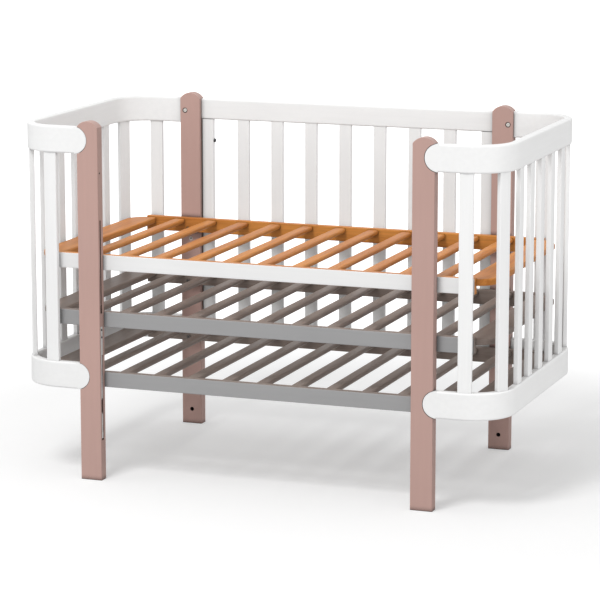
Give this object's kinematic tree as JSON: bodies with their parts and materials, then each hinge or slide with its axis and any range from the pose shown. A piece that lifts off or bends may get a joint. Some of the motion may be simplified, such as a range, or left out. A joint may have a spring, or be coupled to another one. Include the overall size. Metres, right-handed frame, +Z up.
{
  "type": "convertible crib",
  "caption": "Wooden convertible crib with round U-shaped slatted ends, a slatted back, an open front and slatted bed bases at several heights.",
  "frame": {"origin": "on the floor, under the middle of the crib", "axes": "+X along the crib to the right seen from the open front, +Y towards the back panel, +Z up"},
  "size_m": [1.264, 0.685, 0.9],
  "materials": {
    "post_paint": "dusty rose satin paint on solid wood",
    "white_paint": "white satin paint on solid wood",
    "natural_wood": "clear lacquered warm wood",
    "grey_paint": "grey satin paint on wood",
    "taupe_paint": "taupe satin paint on wood",
    "bright_steel": "zinc plated",
    "black_steel": "black oxide",
    "white_plastic": "matt moulded"
  },
  "bodies": {
    "crib": {"back_bottom_rail": "white_paint", "back_left_post": "post_paint", "back_left_stile": "white_paint", "back_right_post": "post_paint", "back_right_stile": "white_paint", "back_slat_1": "white_paint", "back_slat_2": "white_paint", "back_slat_3": "white_paint", "back_slat_4": "white_paint", "back_slat_5": "white_paint", "back_slat_6": "white_paint", "back_slat_7": "white_paint", "back_top_rail": "white_paint", "catch_plates": "bright_steel", "catch_screws": "black_steel", "front_left_post": "post_paint", "front_right_post": "post_paint", "left_bottom_rail": "white_paint", "left_end_slats": "white_paint", "left_top_rail": "white_paint", "lower_platform_back_rail": "grey_paint", "lower_platform_bolts": "black_steel", "lower_platform_front_rail": "grey_paint", "lower_platform_left_board": "grey_paint", "lower_platform_right_board": "grey_paint", "lower_platform_slats": "taupe_paint", "middle_platform_back_rail": "grey_paint", "middle_platform_bolts": "black_steel", "middle_platform_front_rail": "grey_paint", "middle_platform_left_board": "grey_paint", "middle_platform_right_board": "grey_paint", "middle_platform_slats": "taupe_paint", "panel_bolts": "black_steel", "panel_inserts": "bright_steel", "post_inserts": "bright_steel", "rail_bolts": "bright_steel", "rail_inserts": "bright_steel", "right_bottom_rail": "white_paint", "right_end_slats": "white_paint", "right_top_rail": "white_paint", "top_platform_back_rail": "natural_wood", "top_platform_bolts": "black_steel", "top_platform_front_rail": "natural_wood", "top_platform_left_board": "natural_wood", "top_platform_right_board": "natural_wood", "top_platform_slat_1": "natural_wood", "top_platform_slat_10": "natural_wood", "top_platform_slat_11": "natural_wood", "top_platform_slat_2": "natural_wood", "top_platform_slat_3": "natural_wood", "top_platform_slat_4": "natural_wood", "top_platform_slat_5": "natural_wood", "top_platform_slat_6": "natural_wood", "top_platform_slat_7": "natural_wood", "top_platform_slat_8": "natural_wood", "top_platform_slat_9": "natural_wood"},
    "left_catch": {"left_catch_leaf": "bright_steel", "left_catch_tip": "white_plastic"},
    "right_catch": {"right_catch_leaf": "bright_steel", "right_catch_tip": "white_plastic"}
  },
  "joints": [
    {"name": "left_catch_flex", "type": "hinge", "parent": "crib", "child": "left_catch", "pos_m": [-0.4048, -0.3325, 0.31775], "axis": [0, 1, 0], "range_deg": [0, 1.4], "stiffness_Nm_per_rad": 4},
    {"name": "right_catch_flex", "type": "hinge", "parent": "crib", "child": "right_catch", "pos_m": [0.4048, -0.3325, 0.31775], "axis": [0, -1, 0], "range_deg": [0, 1.4], "stiffness_Nm_per_rad": 4}
  ]
}
